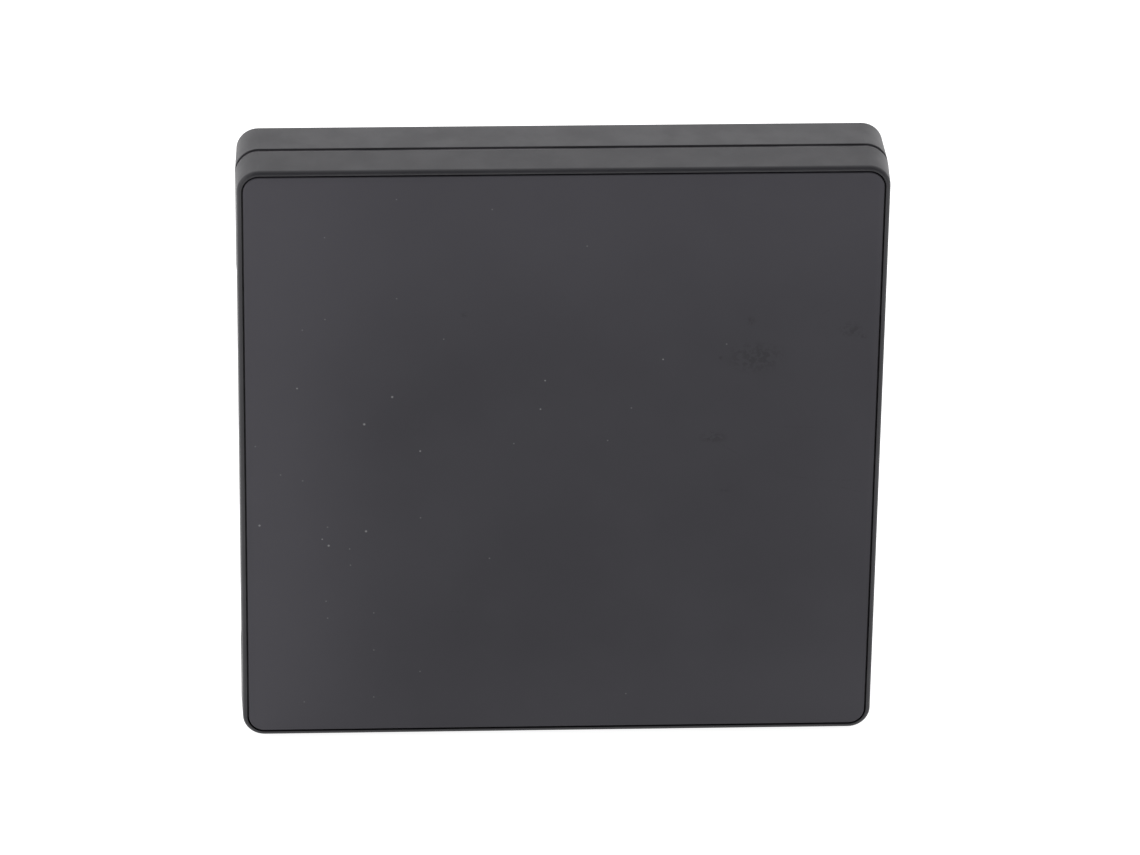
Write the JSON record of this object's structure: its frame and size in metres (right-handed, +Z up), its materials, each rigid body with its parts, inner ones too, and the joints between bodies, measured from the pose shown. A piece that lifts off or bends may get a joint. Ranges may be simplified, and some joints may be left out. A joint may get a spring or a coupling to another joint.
{
  "type": "mesh wifi node",
  "caption": "Slim square charcoal wifi node standing on its lower edge, with an inset front cover plate, a port panel in its left side, rear vents and wall keyholes.",
  "frame": {"origin": "middle of the footprint, on the surface the node stands on (undersides of the rubber feet)", "axes": "+Z up, -Y towards the front cover plate, +X to the node's right seen from the front; the port panel faces -X"},
  "size_m": [0.12, 0.019, 0.1208],
  "materials": {
    "case_plastic": "fine-textured charcoal soft-touch plastic",
    "cover_plastic": "smooth charcoal soft-touch plastic",
    "tape": "white foam tape",
    "panel_plastic": "fine-textured near-black plastic",
    "foot_rubber": "matt black rubber",
    "label_film": "plain grey film, blank",
    "screw_steel": "black-zinc screws",
    "board": "green solder mask",
    "dark_moulding": "black glass-filled moulding",
    "plated_contact": "gold-plated spring metal",
    "tinned_sheet": "tin-plated sheet steel",
    "clear_pipe": "clear moulding",
    "lamp": "white lamp package",
    "button_plastic": "smooth grey plastic",
    "plunger_plastic": "natural nylon",
    "chip_mould": "black epoxy mould",
    "crystal_can": "nickel-plated can",
    "transformer_mould": "black potted block",
    "capacitor_can": "aluminium can",
    "chip_ceramic": "tan ceramic chips with tinned ends",
    "soft_pad": "soft grey pads",
    "sink_alloy": "cast, plain",
    "pin_nylon": "black nylon",
    "antenna_board": "green solder mask over copper",
    "coax_sheath": "thin smooth sheath"
  },
  "bodies": {
    "case": {"amplifier_modules": "chip_mould", "antenna_bottom": "antenna_board", "antenna_right": "antenna_board", "antenna_top_left": "antenna_board", "antenna_top_right": "antenna_board", "base_feet": "foot_rubber", "board_screws": "screw_steel", "bulk_capacitors": "capacitor_can", "case_screws": "screw_steel", "chip_pads": "soft_pad", "chip_resistors": "chip_ceramic", "coax_bottom": "coax_sheath", "coax_plugs": "plated_contact", "coax_right": "coax_sheath", "coax_sockets": "plated_contact", "coax_top_left": "coax_sheath", "coax_top_right": "coax_sheath", "cover_adhesive": "tape", "cover_plate": "cover_plastic", "crystals": "crystal_can", "dc_jack_body": "dark_moulding", "dc_jack_pin": "plated_contact", "dc_jack_spring": "plated_contact", "ethernet_chip": "chip_mould", "front_shell": "case_plastic", "heatsink": "sink_alloy", "heatsink_pins": "pin_nylon", "lan_jack_body": "dark_moulding", "lan_jack_contacts": "plated_contact", "lan_jack_shield": "tinned_sheet", "lan_transformers": "transformer_mould", "lid_pads": "soft_pad", "light_pipe": "clear_pipe", "main_board": "board", "memory_chips": "chip_mould", "pair_switch_body": "dark_moulding", "port_panel": "panel_plastic", "power_inductors": "chip_mould", "processor_chip": "chip_mould", "radio_chip_2g": "chip_mould", "radio_chip_5g": "chip_mould", "rating_label": "label_film", "rear_shell": "case_plastic", "reset_switch_body": "dark_moulding", "shield_frame_processor": "tinned_sheet", "shield_frame_radio_2g": "tinned_sheet", "shield_frame_radio_5g": "tinned_sheet", "shield_lid_processor": "tinned_sheet", "shield_lid_radio_2g": "tinned_sheet", "shield_lid_radio_5g": "tinned_sheet", "status_led": "lamp", "wan_jack_body": "dark_moulding", "wan_jack_contacts": "plated_contact", "wan_jack_shield": "tinned_sheet"},
    "pair_button": {"pair_button": "button_plastic"},
    "pair_plunger": {"pair_switch_plunger": "plunger_plastic"},
    "reset_plunger": {"reset_switch_plunger": "plunger_plastic"}
  },
  "joints": [
    {"name": "pair_button_press", "type": "slide", "parent": "case", "child": "pair_button", "axis": [1, 0, 0], "range_m": [0, 0.0004], "stiffness_N_per_m": 1500, "springref_m": -0.0005},
    {"name": "pair_switch_press", "type": "slide", "parent": "case", "child": "pair_plunger", "axis": [1, 0, 0], "range_m": [0, 0.0004]},
    {"name": "reset_switch_press", "type": "slide", "parent": "case", "child": "reset_plunger", "axis": [1, 0, 0], "range_m": [0, 0.0003], "stiffness_N_per_m": 2000, "springref_m": -0.0005}
  ],
  "couplings": [
    {"joint": "pair_switch_press", "follows": "pair_button_press", "ratio": 1}
  ]
}
